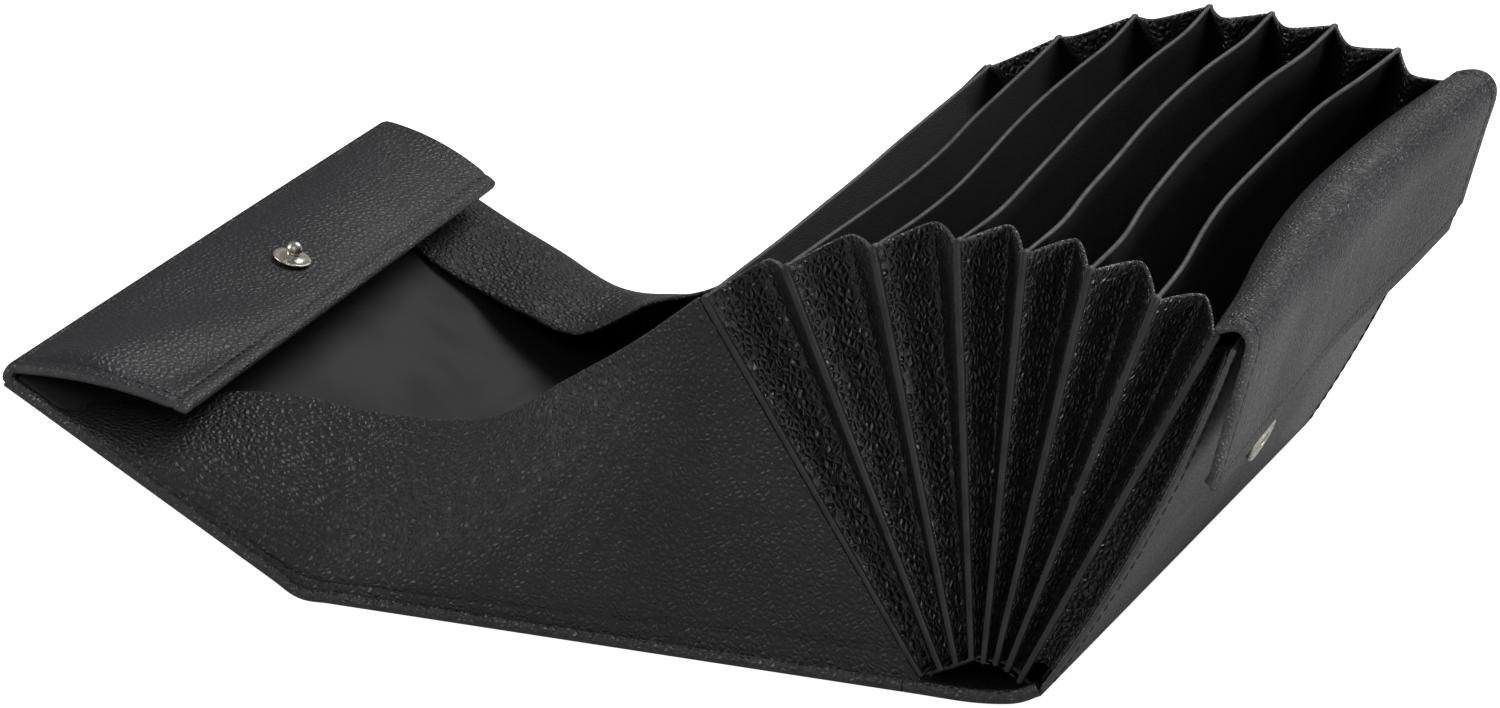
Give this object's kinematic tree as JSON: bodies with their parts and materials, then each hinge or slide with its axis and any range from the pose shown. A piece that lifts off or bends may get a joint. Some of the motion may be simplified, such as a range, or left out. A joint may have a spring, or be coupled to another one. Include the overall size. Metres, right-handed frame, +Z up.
{
  "type": "waiter wallet",
  "caption": "Long folding wallet for serving staff: a fan of note dividers with accordion ends, a wrap-round cover that opens into a coin tray, and a snap.",
  "frame": {"origin": "on the table under the middle of the note fan, at mid-length", "axes": "+X from the coin tray to the outer panel, +Y from the near end of the fan to the far end, +Z up"},
  "size_m": [0.2934, 0.187, 0.1055],
  "materials": {
    "pebbled_leather": "satin black, coarse pebble grain",
    "divider_leather": "satin black with grey worn edges",
    "smooth_leather": "fine grained black with a grey-blue sheen",
    "tray_lining": "matt black lining",
    "snap_metal": "pale cream metal"
  },
  "bodies": {
    "base": {"spine": "pebbled_leather", "fan_base": "pebbled_leather", "divider_4": "divider_leather", "near_pleat_4": "pebbled_leather", "far_pleat_4": "pebbled_leather"},
    "divider_3": {"divider_3": "divider_leather", "near_pleat_3": "pebbled_leather", "far_pleat_3": "pebbled_leather"},
    "divider_2": {"divider_2": "divider_leather", "near_pleat_2": "pebbled_leather", "far_pleat_2": "pebbled_leather"},
    "divider_1": {"divider_1": "divider_leather", "near_pleat_1": "pebbled_leather", "far_pleat_1": "pebbled_leather", "near_gusset_1": "pebbled_leather", "far_gusset_1": "pebbled_leather"},
    "divider_5": {"divider_5": "divider_leather", "near_pleat_5": "pebbled_leather", "far_pleat_5": "pebbled_leather"},
    "divider_6": {"divider_6": "divider_leather", "near_pleat_6": "pebbled_leather", "far_pleat_6": "pebbled_leather"},
    "divider_7": {"divider_7": "divider_leather", "near_pleat_7": "pebbled_leather", "far_pleat_7": "pebbled_leather"},
    "divider_8": {"divider_8": "divider_leather", "near_pleat_8": "pebbled_leather", "far_pleat_8": "pebbled_leather"},
    "outer_panel": {"outer_panel": "smooth_leather", "outer_lining": "tray_lining", "socket_ring": "snap_metal", "socket_washer": "snap_metal"},
    "pocket_flap": {"pocket_flap": "smooth_leather"},
    "front_cover": {"front_cover": "pebbled_leather", "front_lining": "tray_lining"},
    "top_cover": {"top_cover": "pebbled_leather", "top_lining": "tray_lining", "near_gusset_2": "pebbled_leather", "far_gusset_2": "pebbled_leather"},
    "back_cover": {"back_cover": "pebbled_leather", "back_lining": "tray_lining", "near_gusset_3": "pebbled_leather", "far_gusset_3": "pebbled_leather"},
    "cover_lip": {"cover_lip": "pebbled_leather", "snap_stud": "snap_metal", "stud_cap": "snap_metal"}
  },
  "joints": [
    {"name": "fan_close", "type": "hinge", "parent": "base", "child": "divider_3", "pos_m": [-0.00411, 0, 0.00779], "axis": [0, 1, 0], "range_deg": [0, 9.1], "deforming": ["near_pleat_3", "far_pleat_3"]},
    {"name": "divider_2_hinge", "type": "hinge", "parent": "divider_3", "child": "divider_2", "pos_m": [-0.00762, 0, 0.00598], "axis": [0, 1, 0], "range_deg": [0, 9.8], "deforming": ["near_pleat_2", "far_pleat_2"]},
    {"name": "divider_1_hinge", "type": "hinge", "parent": "divider_2", "child": "divider_1", "pos_m": [-0.01221, 0, 0.0038], "axis": [0, 1, 0], "range_deg": [0, 8.8], "deforming": ["near_pleat_1", "far_pleat_1"]},
    {"name": "divider_5_hinge", "type": "hinge", "parent": "base", "child": "divider_5", "pos_m": [0.0021, 0, 0.00903], "axis": [0, 1, 0], "range_deg": [-7.6, 0], "deforming": ["near_pleat_4", "far_pleat_4"]},
    {"name": "divider_6_hinge", "type": "hinge", "parent": "divider_5", "child": "divider_6", "pos_m": [0.0048, 0, 0.00903], "axis": [0, 1, 0], "range_deg": [-7.3, 0], "deforming": ["near_pleat_5", "far_pleat_5"]},
    {"name": "divider_7_hinge", "type": "hinge", "parent": "divider_6", "child": "divider_7", "pos_m": [0.00739, 0, 0.00808], "axis": [0, 1, 0], "range_deg": [-7.8, 0], "deforming": ["near_pleat_6", "far_pleat_6"]},
    {"name": "divider_8_hinge", "type": "hinge", "parent": "divider_7", "child": "divider_8", "pos_m": [0.0102, 0, 0.00589], "axis": [0, 1, 0], "range_deg": [-6.9, 0], "deforming": ["near_pleat_7", "far_pleat_7"]},
    {"name": "outer_panel_hinge", "type": "hinge", "parent": "divider_8", "child": "outer_panel", "pos_m": [0.0159, 0, 0.00419], "axis": [0, 1, 0], "range_deg": [-1, 0], "deforming": ["near_pleat_8", "far_pleat_8"]},
    {"name": "pocket_flap_hinge", "type": "hinge", "parent": "divider_8", "child": "pocket_flap", "pos_m": [0.05167, 0, 0.09322], "axis": [-0.0214, 0.9997, 0.0102], "range_deg": [-140, 5]},
    {"name": "front_fold", "type": "hinge", "parent": "divider_1", "child": "front_cover", "pos_m": [-0.01451, 0, 0.003], "axis": [0, 1, 0], "range_deg": [0, 55], "deforming": ["near_gusset_1", "far_gusset_1"]},
    {"name": "top_fold", "type": "hinge", "parent": "front_cover", "child": "top_cover", "pos_m": [-0.11301, 0, 0.003], "axis": [0, 1, 0], "range_deg": [0, 86], "deforming": ["near_gusset_2", "far_gusset_2"]},
    {"name": "back_fold", "type": "hinge", "parent": "top_cover", "child": "back_cover", "pos_m": [-0.15901, 0, 0.003], "axis": [0, 1, 0], "range_deg": [0, 62], "deforming": ["near_gusset_3", "far_gusset_3"]},
    {"name": "lip_fold", "type": "hinge", "parent": "back_cover", "child": "cover_lip", "pos_m": [-0.2257, 0, 0.04513], "axis": [-0.052, -0.9984, -0.0216], "range_deg": [-14, 150]}
  ],
  "couplings": [
    {"joint": "divider_2_hinge", "follows": "fan_close", "ratio": 1.0769},
    {"joint": "divider_1_hinge", "follows": "fan_close", "ratio": 0.96703},
    {"joint": "divider_5_hinge", "follows": "fan_close", "ratio": -0.83516},
    {"joint": "divider_6_hinge", "follows": "fan_close", "ratio": -0.80219},
    {"joint": "divider_7_hinge", "follows": "fan_close", "ratio": -0.85714},
    {"joint": "divider_8_hinge", "follows": "fan_close", "ratio": -0.75824},
    {"joint": "outer_panel_hinge", "follows": "fan_close", "ratio": -0.10989}
  ]
}
